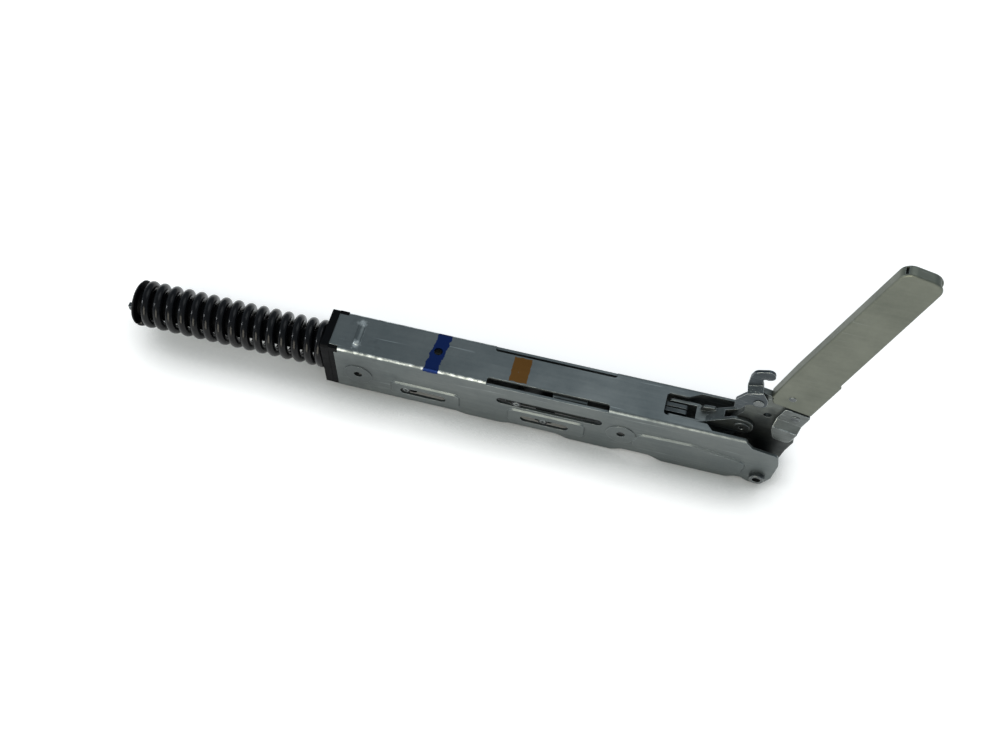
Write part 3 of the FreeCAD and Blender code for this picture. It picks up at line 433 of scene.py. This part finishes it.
def build_fold_highlight(name):
    """Mask of a painted highlight: a broken line along the outside of a long bend, fading along it."""
    tree, given, out = new_group(name, [("Start", NUMBER, 0.0085), ("Full", NUMBER, 0.009)],
                                 [("Mask", NUMBER)])
    place = object_place(tree, 0, 1)
    axes = add(tree, "ShaderNodeSeparateXYZ", 1, 1)
    feed(tree, place, axes.inputs[0])
    side = maths(tree, "ABSOLUTE", axes.outputs["Y"], 0.0, 2, 1)
    corner = maths(tree, "ADD", side, axes.outputs["Z"], 3, 1)
    line = spread(tree, corner, given.outputs["Start"], given.outputs["Full"], 0.0, 1.0, 4, 1)
    broken = spread(tree, noise(tree, place, 330.0, 5.0, 2, 3), 0.4, 0.62, 0.1, 1.0, 3, 3)
    line = maths(tree, "MULTIPLY", line, broken, 5, 1)
    faded = spread(tree, axes.outputs["X"], -0.004, 0.012, 0.75, 0.12, 4, 3)
    feed(tree, maths(tree, "MULTIPLY", line, faded, 6, 1), out.inputs["Mask"])
    return tree


def use(tree, name, column, row, **values):
    """Places a shared effect in a material, with its own values."""
    made = add(tree, "ShaderNodeGroup", column, row, node_tree=group(name))
    for label, value in values.items():
        feed(tree, value, made.inputs[label.replace("_", " ")])
    return made.outputs


def from_spring_end(distance, across, height):
    """Place in the part's frame, its length taken from the housing's spring end."""
    return (distance - ORIGIN_FROM_END, across, height)


def opaque(tint, light=1.0):
    """Colour for a socket, with a share of its light."""
    return (*(value * light for value in tint), 1.0)


def new_material(name):
    """Material with its Principled shader alone. Returns the material, its tree and the shader."""
    material = bpy.data.materials.new(name)
    material.use_nodes = True
    tree = material.node_tree
    shader = tree.nodes["Principled BSDF"]
    shader.location = (10 * COLUMN_WIDTH, 0)
    tree.nodes["Material Output"].location = (12 * COLUMN_WIDTH, 0)
    return material, tree, shader


def steel(name, light, dark, bright, metallic, roughness, grain, streaks, scratches, wear,
          edge=0.0003):
    """A worn metal. Returns the material, its tree, its shader and its colour socket."""
    material, tree, shader = new_material(name)
    tones = use(tree, "Sheet grain", 0, 0, Scale=grain, Streaks=streaks)
    edges = use(tree, "Edge wear and highlight", 0, 2, Radius=edge)
    marks = use(tree, "Scratches", 0, 3, Scale=grain * 1.5, Amount=scratches)
    crevices = use(tree, "Crevice shade and dust", 0, 4)
    base = mix_colours(tree, tones["Tone"], opaque(dark), opaque(light), 2, 0)
    # Edges brightened toward the bare colour: partly rubbed metal, partly painted edge highlight;
    # scratches add to it
    rubbed = maths(tree, "MULTIPLY", edges["Mask"], wear, 2, 2)
    rubbed = maths(tree, "MAXIMUM", rubbed, marks["Mask"], 3, 2)
    base = mix_colours(tree, rubbed, base, opaque(bright), 4, 0)
    # Painted shade: corners and pressed shapes darkened toward the dark colour at 35 percent
    crevice_shade = maths(tree, "MULTIPLY", crevices["Mask"], 0.5, 3, 4)
    base = mix_colours(tree, crevice_shade, base, opaque(dark, light=0.35), 5, 0)
    clean_rough = spread(tree, tones["Tone"], 0.0, 1.0, roughness + 0.08, roughness - 0.06, 4, 3)
    rough = maths(tree, "MULTIPLY_ADD", crevice_shade, 0.2, 6, 3, added=clean_rough)
    relief = add(tree, "ShaderNodeBump", 7, 2)
    relief.inputs["Distance"].default_value = FINE_RELIEF
    feed(tree, tones["Height"], relief.inputs["Height"])
    feed(tree, edges["Normal"], relief.inputs["Normal"])
    feed(tree, base, shader.inputs["Base Color"])
    feed(tree, rough, shader.inputs["Roughness"])
    feed(tree, relief.outputs[0], shader.inputs["Normal"])
    shader.inputs["Metallic"].default_value = metallic
    return material, tree, shader, base


def moulded(name, base, dust, roughness, grain):
    """Moulded plastic with a fine texture and dust in its corners."""
    material, tree, shader = new_material(name)
    tones = use(tree, "Sheet grain", 0, 0, Scale=grain, Streaks=0.0)
    edges = use(tree, "Edge wear and highlight", 0, 2, Radius=0.0004)
    crevices = use(tree, "Crevice shade and dust", 0, 4, Reach=0.002)
    tint = mix_colours(tree, tones["Tone"], opaque(base, light=0.7), opaque(base), 2, 0)
    # Edges lightened toward the dust colour: partly rubbed, partly painted edge highlight
    rubbed = maths(tree, "MULTIPLY", edges["Mask"], 0.15, 2, 2)
    tint = mix_colours(tree, rubbed, tint, opaque(dust), 3, 0)
    settled = maths(tree, "MULTIPLY", crevices["Mask"], 0.12, 2, 4)
    tint = mix_colours(tree, settled, tint, opaque(dust), 4, 0)
    relief = add(tree, "ShaderNodeBump", 6, 2)
    relief.inputs["Distance"].default_value = COARSE_RELIEF
    feed(tree, tones["Height"], relief.inputs["Height"])
    feed(tree, edges["Normal"], relief.inputs["Normal"])
    feed(tree, tint, shader.inputs["Base Color"])
    feed(tree, spread(tree, tones["Tone"], 0.0, 1.0, roughness + 0.1, roughness - 0.08, 4, 3),
         shader.inputs["Roughness"])
    feed(tree, relief.outputs[0], shader.inputs["Normal"])
    shader.inputs["Specular IOR Level"].default_value = 0.06
    return material


def coat_material(colours):
    """Glossy black coat, rubbed on the outside of the turns."""
    material, tree, shader = new_material("spring_coat")
    tones = use(tree, "Sheet grain", 0, 0, Scale=120.0, Streaks=0.2)
    marks = use(tree, "Scratches", 0, 3, Scale=160.0, Amount=0.6)
    tint = mix_colours(tree, marks["Mask"], opaque(colours.coat), opaque(colours.coat_worn), 3, 0)
    dusty = spread(tree, tones["Tone"], 0.6, 1.0, 0.0, 0.18, 2, 1)
    tint = mix_colours(tree, dusty, tint, opaque(colours.coat_worn), 4, 0)
    relief = add(tree, "ShaderNodeBump", 6, 2)
    relief.inputs["Distance"].default_value = FINE_RELIEF
    feed(tree, tones["Height"], relief.inputs["Height"])
    feed(tree, tint, shader.inputs["Base Color"])
    feed(tree, spread(tree, tones["Tone"], 0.0, 1.0, 0.2, 0.36, 4, 3), shader.inputs["Roughness"])
    feed(tree, relief.outputs[0], shader.inputs["Normal"])
    shader.inputs["Specular IOR Level"].default_value = 0.1
    shader.inputs["Coat Weight"].default_value = 0.5
    shader.inputs["Coat Roughness"].default_value = 0.08
    shader.inputs["Coat IOR"].default_value = 1.3
    return material


def dress(material, *nodes):
    """Gives CAD nodes a material in place of their own."""
    for name in nodes:
        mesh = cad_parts[name].data
        mesh.materials.clear()
        mesh.materials.append(material)


# Pieces

def spring_line(props):
    """Points of the wire's centre line: closed turns at the ends, open turns between."""
    reach = props.outer_radius - props.wire_radius
    closed = props.wire_radius * CLOSED_PITCH
    low = props.far_end + props.wire_radius * END_INSET
    high = props.near_end - props.wire_radius * END_INSET
    open_pitch = (high - low - 2 * closed * props.end_turns) / props.open_turns
    turns = props.open_turns + 2 * props.end_turns
    count = int(turns * props.steps)
    points = []
    reached = low
    for i in range(count + 1):
        turn = turns * i / count
        angle = props.start_angle + turn * 2 * math.pi
        points.append(Vector((reached, reach * math.cos(angle),
                              props.height + reach * math.sin(angle))))
        from_end = min(turn, turns - turn)
        opened = min(max((from_end - props.end_turns + EASE / 2) / EASE, 0.0), 1.0)
        opened = opened * opened * (3 - 2 * opened)
        reached += (closed + (open_pitch - closed) * opened) * turns / count
    drift = (high - points[-1].x) / count
    for i, point in enumerate(points):
        point.x += drift * i
    return points


def spring_mesh(props):
    """Round wire swept along the line, its ends ground flat against the seats."""
    points = spring_line(props)
    mesh = bpy.data.meshes.new("coil_spring")
    maker = bmesh.new()
    rings = []
    for i, point in enumerate(points):
        before = points[max(i - 1, 0)]
        after = points[min(i + 1, len(points) - 1)]
        forward = (after - before).normalized()
        outward = Vector((0, point.y, point.z - props.height)).normalized()
        outward = (outward - forward * outward.dot(forward)).normalized()
        across = forward.cross(outward)
        ring = []
        for side in range(props.sides):
            angle = 2 * math.pi * side / props.sides
            offset = outward * math.cos(angle) + across * math.sin(angle)
            place = point + offset * props.wire_radius
            place.x = min(max(place.x, props.far_end + SEAT_GAP), props.near_end - SEAT_GAP)
            ring.append(maker.verts.new(place))
        rings.append(ring)
    for first, second in zip(rings, rings[1:]):
        for side in range(props.sides):
            after = (side + 1) % props.sides
            maker.faces.new((first[side], second[side], second[after], first[after]))
    maker.faces.new(rings[0])
    maker.faces.new(list(reversed(rings[-1])))
    bmesh.ops.recalc_face_normals(maker, faces=maker.faces)
    maker.to_mesh(mesh)
    maker.free()
    mesh.shade_smooth()
    return mesh


class HINGE_OT_spring(Operator):
    """Builds the black compression spring"""
    bl_idname = "hinge.spring"
    bl_label = "Compression spring"

    def execute(self, context):
        props = context.scene.hinge_spring
        spring = bpy.data.objects.new("coil_spring", spring_mesh(props))
        context.scene.collection.objects.link(spring)
        spring.data.materials.append(coat_material(context.scene.hinge_plastic))
        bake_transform(spring)
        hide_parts("main_spring")
        return {"FINISHED"}


class HINGE_OT_housing(Operator):
    """Finishes the folded housing: clouded zinc, the blue paint band and the amber stripe"""
    bl_idname = "hinge.housing"
    bl_label = "Housing"
    screw_hole = from_spring_end(0.0106, 0.0103, -0.0172)
    dimple_end = from_spring_end(0.0095, 0.0056, 0.0006)
    # Distance across plus height at which the painted highlight along the bend begins, and is full
    fold_highlight_start = 0.00868
    fold_highlight_full = 0.00892
    # How far down the flanges the marks reach, and how far across the web the stripe does
    blue_depth = 0.0022
    amber_depth = 0.0004
    amber_reach = 0.0063

    def execute(self, context):
        metal = context.scene.hinge_metal
        marks = context.scene.hinge_marks
        material, tree, shader, base = steel(
            "housing_zinc", metal.zinc, metal.zinc_dark, metal.bright, metallic=0.85, roughness=0.42,
            grain=34.0, streaks=0.25, scratches=0.25, wear=0.5)
        smudge = use(tree, "Spot", 3, 5, Place=self.screw_hole, Reach=0.017)["Mask"]
        smudge = maths(tree, "MULTIPLY", smudge, 0.6, 4, 5)
        base = mix_colours(tree, smudge, base, opaque(metal.inner), 5, 1)
        # Painted highlight along the web's near bend, in the bare metal colour
        line = use(tree, "Fold highlight", 3, 6, Start=self.fold_highlight_start, Full=self.fold_highlight_full)["Mask"]
        # Painted highlight on the near end of the pressed dimple
        dimple_highlight = use(tree, "Spot", 3, 7, Place=self.dimple_end, Reach=0.0022, Scale=420.0)["Mask"]
        dimple_highlight = maths(tree, "MULTIPLY", dimple_highlight, 0.55, 3, 8)
        # The two painted highlights together, mixed toward the bare metal colour
        rubbed = maths(tree, "MAXIMUM", line, dimple_highlight, 4, 6)
        base = mix_colours(tree, rubbed, base, opaque(metal.highlight_and_bare), 6, 1)
        # The band's start is given on the near side, where the slant has shifted it
        near_shift = marks.blue_slant * HALF_WIDTH
        blue = use(tree, "Band across", 5, 5,
                   Start=marks.blue_start - ORIGIN_FROM_END + near_shift, Width=marks.blue_width,
                   Slant=marks.blue_slant, Wobble=0.0005, Depth=self.blue_depth)["Mask"]
        amber = use(tree, "Band across", 5, 7, Start=marks.amber_start - ORIGIN_FROM_END,
                    Width=marks.amber_width, Wobble=0.00025, Half_Reach=self.amber_reach,
                    Depth=self.amber_depth)["Mask"]
        amber = maths(tree, "MULTIPLY", amber, 0.93, 7, 7)
        tint = mix_colours(tree, blue, base, opaque(marks.blue), 7, 0)
        tint = mix_colours(tree, amber, tint, opaque(marks.amber), 8, 0)
        feed(tree, tint, shader.inputs["Base Color"])
        dress(material, "housing")
        return {"FINISHED"}


class HINGE_OT_folded(Operator):
    """Finishes the folded link and the guide plates in zinc"""
    bl_idname = "hinge.folded"
    bl_label = "Link and guide plates"

    def execute(self, context):
        metal = context.scene.hinge_metal
        link = steel("link_zinc", metal.zinc, metal.lever_dark, metal.bright, metallic=0.85,
                     roughness=0.38, grain=70.0, streaks=0.3, scratches=0.5, wear=0.7)[0]
        dress(link, "link")
        # Plate edges at full strength: partly bare metal, partly painted edge highlight
        plates = steel("plate_zinc", metal.zinc, metal.lever_dark, metal.highlight_and_bare, metallic=0.85,
                       roughness=0.34, grain=80.0, streaks=0.3, scratches=0.4, wear=1.0,
                       edge=0.0005)[0]
        dress(plates, "guide_plates")
        return {"FINISHED"}


class HINGE_OT_arm(Operator):
    """Finishes the lever plate, its folded sleeve and the catch"""
    bl_idname = "hinge.arm"
    bl_label = "Lever arm"
    grease_and_shade_place = (0.112, 0.0, -0.014)

    def execute(self, context):
        metal = context.scene.hinge_metal
        sleeve = steel("sleeve_zinc", metal.sleeve, metal.sleeve_dark, metal.bright, metallic=0.75,
                       roughness=0.45, grain=30.0, streaks=0.15, scratches=0.12, wear=0.45)[0]
        dress(sleeve, "arm_sleeve")
        lever, tree, shader, base = steel(
            "lever_steel", metal.lever, metal.lever_dark, metal.bright, metallic=0.85,
            roughness=0.4, grain=60.0, streaks=0.3, scratches=0.5, wear=0.8)
        # Dark patch round the pivot: partly grease, partly painted shade of the arm's lower part
        grease_and_shade = use(tree, "Spot", 3, 5, Place=self.grease_and_shade_place, Reach=0.03)["Mask"]
        grease_and_shade = maths(tree, "MULTIPLY", grease_and_shade, 0.85, 5, 5)
        base = mix_colours(tree, grease_and_shade, base, opaque(metal.inner_dark), 7, 0)
        feed(tree, base, shader.inputs["Base Color"])
        dress(lever, "arm_core")
        catch = steel("catch_steel", metal.catch, metal.catch_dark, metal.highlight_and_bare, metallic=0.85,
                      roughness=0.36, grain=90.0, streaks=0.2, scratches=0.3, wear=0.9)[0]
        dress(catch, "locking_catch")
        return {"FINISHED"}


class HINGE_OT_pins(Operator):
    """Finishes the rivets, the pins and the damper's rod"""
    bl_idname = "hinge.pins"
    bl_label = "Rivets and pins"
    # Middle of each slot pin's end, where it is hollow; its dark is painted shade
    slot_pins = (("rod_pin", from_spring_end(0.08281, 0.0101, -0.0122)),
                 ("rear_pins", from_spring_end(0.0324, 0.0101, -0.0218)),
                 ("front_pin", from_spring_end(0.09491, 0.0101, -0.0222)))

    def execute(self, context):
        metal = context.scene.hinge_metal
        pins = steel("pin_steel", metal.pin, metal.pin_dark, metal.bright, metallic=0.9,
                     roughness=0.32, grain=140.0, streaks=0.0, scratches=0.4, wear=0.8)[0]
        dress(pins, "pivot_rivet", "link_pin", "link_rivet", "guide_rivet", "sleeve_rivet",
              "catch_rivet", "damper_rod")
        for name, place in self.slot_pins:
            pin, tree, shader, base = steel(
                name + "_steel", metal.pin_bright, metal.pin, metal.highlight_and_bare, metallic=0.9,
                roughness=0.3, grain=140.0, streaks=0.0, scratches=0.3, wear=0.9)
            # Painted shade in the hollow middle of the pin's end
            centre = use(tree, "Spot", 3, 5, Place=place, Reach=0.0011, Scale=900.0)["Mask"]
            base = mix_colours(tree, centre, base, opaque(metal.inner_dark), 7, 0)
            feed(tree, base, shader.inputs["Base Color"])
            dress(pin, name)
        return {"FINISHED"}


class HINGE_OT_inner(Operator):
    """Finishes the rod, the draw bar, the carriage and the damper's tube"""
    bl_idname = "hinge.inner"
    bl_label = "Inner steel"

    def execute(self, context):
        metal = context.scene.hinge_metal
        # These dark finishes are partly oil and partly painted shade inside the housing
        inner = steel("inner_steel", metal.inner, metal.inner_dark, metal.bright, metallic=0.85,
                      roughness=0.35, grain=60.0, streaks=0.4, scratches=0.4, wear=0.5)[0]
        dress(inner, "pull_rod", "draw_bar")
        carriage = steel("carriage_steel", metal.zinc, metal.inner, metal.bright, metallic=0.85,
                         roughness=0.34, grain=60.0, streaks=0.4, scratches=0.4, wear=0.8)[0]
        dress(carriage, "slide_carriage")
        tube = steel("damper_tube", metal.tube, metal.tube_dark, metal.bright, metallic=0.9,
                     roughness=0.3, grain=80.0, streaks=0.7, scratches=0.3, wear=0.3)[0]
        dress(tube, "damper_cylinder")
        return {"FINISHED"}


class HINGE_OT_mouldings(Operator):
    """Finishes the black end guide, cap, collar and block, and the grey rollers and bushes"""
    bl_idname = "hinge.mouldings"
    bl_label = "Mouldings"

    def execute(self, context):
        plastic = context.scene.hinge_plastic
        black = moulded("moulded_black", plastic.guide, plastic.guide_dust, roughness=0.48,
                        grain=260.0)
        dress(black, "end_guide", "spring_cap", "rear_collar", "front_block")
        grey = moulded("roller_grey", plastic.roller, plastic.guide_dust, roughness=0.5,
                       grain=300.0)
        dress(grey, "rod_rollers", "rear_rollers", "front_rollers", "pivot_bushes")
        return {"FINISHED"}


# Stage

def floor_material(stage):
    """Pale floor that shows white to the camera and in gloss, and keeps a soft shadow."""
    material, tree, shader = new_material("pale_floor")
    tree.nodes.remove(shader)
    matt = add(tree, "ShaderNodeBsdfDiffuse", 3, 0)
    matt.inputs["Color"].default_value = opaque(stage.floor)
    glow = add(tree, "ShaderNodeEmission", 3, 2)
    # The glow fades under the hinge, so that slots and gaps read dark
    open_sky = add(tree, "ShaderNodeAmbientOcclusion", 0, 4, samples=8)
    open_sky.inputs["Distance"].default_value = stage.shade_reach
    lit = spread(tree, open_sky.outputs["AO"], 0.55, 0.9, 0.0, 0.72, 1, 4)
    feed(tree, maths(tree, "MULTIPLY", seen_rays(tree, 0, 2), lit, 2, 2), glow.inputs["Strength"])
    total = add(tree, "ShaderNodeAddShader", 5, 0)
    feed(tree, matt.outputs[0], total.inputs[0])
    feed(tree, glow.outputs[0], total.inputs[1])
    feed(tree, total.outputs[0], tree.nodes["Material Output"].inputs["Surface"])
    return material


def seen_rays(tree, column, row):
    """1 for rays of the camera, of gloss and through glass, otherwise 0."""
    path = add(tree, "ShaderNodeLightPath", column, row)
    direct = maths(tree, "MAXIMUM", path.outputs["Is Camera Ray"], path.outputs["Is Glossy Ray"],
                   column + 1, row)
    return maths(tree, "MAXIMUM", direct, path.outputs["Is Transmission Ray"], column + 1, row + 1)


def soft_light(name, place, size, power, tint):
    """Square soft light aimed at the hinge."""
    lamp = bpy.data.lights.new(name, "AREA")
    lamp.size = size
    lamp.energy = power
    lamp.color = tint
    light = bpy.data.objects.new(name, lamp)
    light.location = place
    light.rotation_mode = "QUATERNION"
    aim = Vector(LIGHT_TARGET) - Vector(place)
    light.rotation_quaternion = aim.to_track_quat("-Z", "Y")
    bpy.context.scene.collection.objects.link(light)


class HINGE_OT_stage(Operator):
    """Sets the floor, the soft lights, the room and the camera"""
    bl_idname = "hinge.stage"
    bl_label = "Studio"

    def execute(self, context):
        scene = context.scene
        stage = scene.hinge_stage
        reach = stage.floor_size
        level = CAD_LOW.z - FLOOR_GAP
        mesh = bpy.data.meshes.new("floor")
        corners = [(-reach, -reach, level), (reach, -reach, level), (reach, reach, level),
                   (-reach, reach, level)]
        mesh.from_pydata(corners, [], [(0, 1, 2, 3)])
        mesh.materials.append(floor_material(stage))
        floor = bpy.data.objects.new("floor", mesh)
        scene.collection.objects.link(floor)
        soft_light("front_light", (-0.15, -1.0, 0.36), 0.7, stage.key_power, WARM)
        soft_light("top_light", (0.3, 0.5, 1.1), 0.9, stage.top_power, COOL)
        soft_light("side_light", (-1.1, -0.3, 0.5), 0.16, stage.side_power, COOL)
        self.light_room(scene, stage)
        self.place_camera(scene, stage)
        scene.view_settings.view_transform = "Standard"
        return {"FINISHED"}

    def light_room(self, scene, stage):
        """Room that lights the hinge in its own colour and shows the camera a plain backdrop."""
        world = bpy.data.worlds.new("room")
        scene.world = world
        world.use_nodes = True
        tree = world.node_tree
        tree.nodes.clear()
        room = add(tree, "ShaderNodeBackground", 4, 0)
        room.inputs["Color"].default_value = opaque(stage.sky)
        room.inputs["Strength"].default_value = stage.room_level
        backdrop = add(tree, "ShaderNodeBackground", 4, 2)
        backdrop.inputs["Strength"].default_value = 1.0
        path = add(tree, "ShaderNodeLightPath", 2, 0)
        either = add(tree, "ShaderNodeMixShader", 6, 0)
        feed(tree, path.outputs["Is Camera Ray"], either.inputs[0])
        feed(tree, room.outputs[0], either.inputs[1])
        feed(tree, backdrop.outputs[0], either.inputs[2])
        output = add(tree, "ShaderNodeOutputWorld", 8, 0)
        feed(tree, either.outputs[0], output.inputs["Surface"])

    def place_camera(self, scene, stage):
        """Camera at its place, turned, tilted and rolled as the settings say."""
        turn = stage.camera_turn
        rise = stage.camera_rise
        roll = stage.camera_roll
        right = Vector((math.cos(turn), math.sin(turn), 0))
        back = Vector((math.sin(turn) * math.cos(rise), -math.cos(turn) * math.cos(rise),
                       math.sin(rise)))
        up = back.cross(right)
        rolled_right = right * math.cos(roll) + up * math.sin(roll)
        rolled_up = up * math.cos(roll) - right * math.sin(roll)
        lens = bpy.data.cameras.new("camera")
        lens.lens = stage.lens
        lens.sensor_width = 36.0
        lens.clip_start = 0.01
        camera = bpy.data.objects.new("camera", lens)
        scene.collection.objects.link(camera)
        turned = Matrix((rolled_right, rolled_up, back)).transposed().to_4x4()
        camera.matrix_world = Matrix.Translation(Vector(stage.camera_place)) @ turned
        scene.camera = camera


class HINGE_PT_panel(Panel):
    """Lists the pieces and finishes"""
    bl_idname = "HINGE_PT_panel"
    bl_label = "Oven door hinge"
    bl_space_type = "VIEW_3D"
    bl_region_type = "UI"
    bl_category = "Hinge"

    def draw(self, context):
        for operator in OPERATORS:
            self.layout.operator(operator.bl_idname)
        for name in SETTINGS:
            box = self.layout.box()
            settings = getattr(context.scene, name)
            for key in settings.bl_rna.properties.keys():
                if key not in {"rna_type", "name"}:
                    box.prop(settings, key)


OPERATORS = (HINGE_OT_spring, HINGE_OT_housing, HINGE_OT_folded, HINGE_OT_arm, HINGE_OT_pins,
             HINGE_OT_inner, HINGE_OT_mouldings, HINGE_OT_stage)
SETTINGS = {"hinge_spring": HingeSpringProps, "hinge_metal": HingeMetalProps,
            "hinge_marks": HingeMarkProps, "hinge_plastic": HingePlasticProps,
            "hinge_stage": HingeStageProps}
CLASSES = (*SETTINGS.values(), *OPERATORS, HINGE_PT_panel)


def register():
    for item in CLASSES:
        bpy.utils.register_class(item)
    for name, props in SETTINGS.items():
        setattr(bpy.types.Scene, name, PointerProperty(type=props))


def unregister():
    for name in SETTINGS:
        delattr(bpy.types.Scene, name)
    for item in reversed(CLASSES):
        bpy.utils.unregister_class(item)


def main():
    register()
    for operator in OPERATORS:
        group_name, call = operator.bl_idname.split(".")
        result = getattr(getattr(bpy.ops, group_name), call)()
        if "FINISHED" not in result:
            raise RuntimeError(operator.bl_label + " did not finish")


if __name__ == "__main__":
    main()
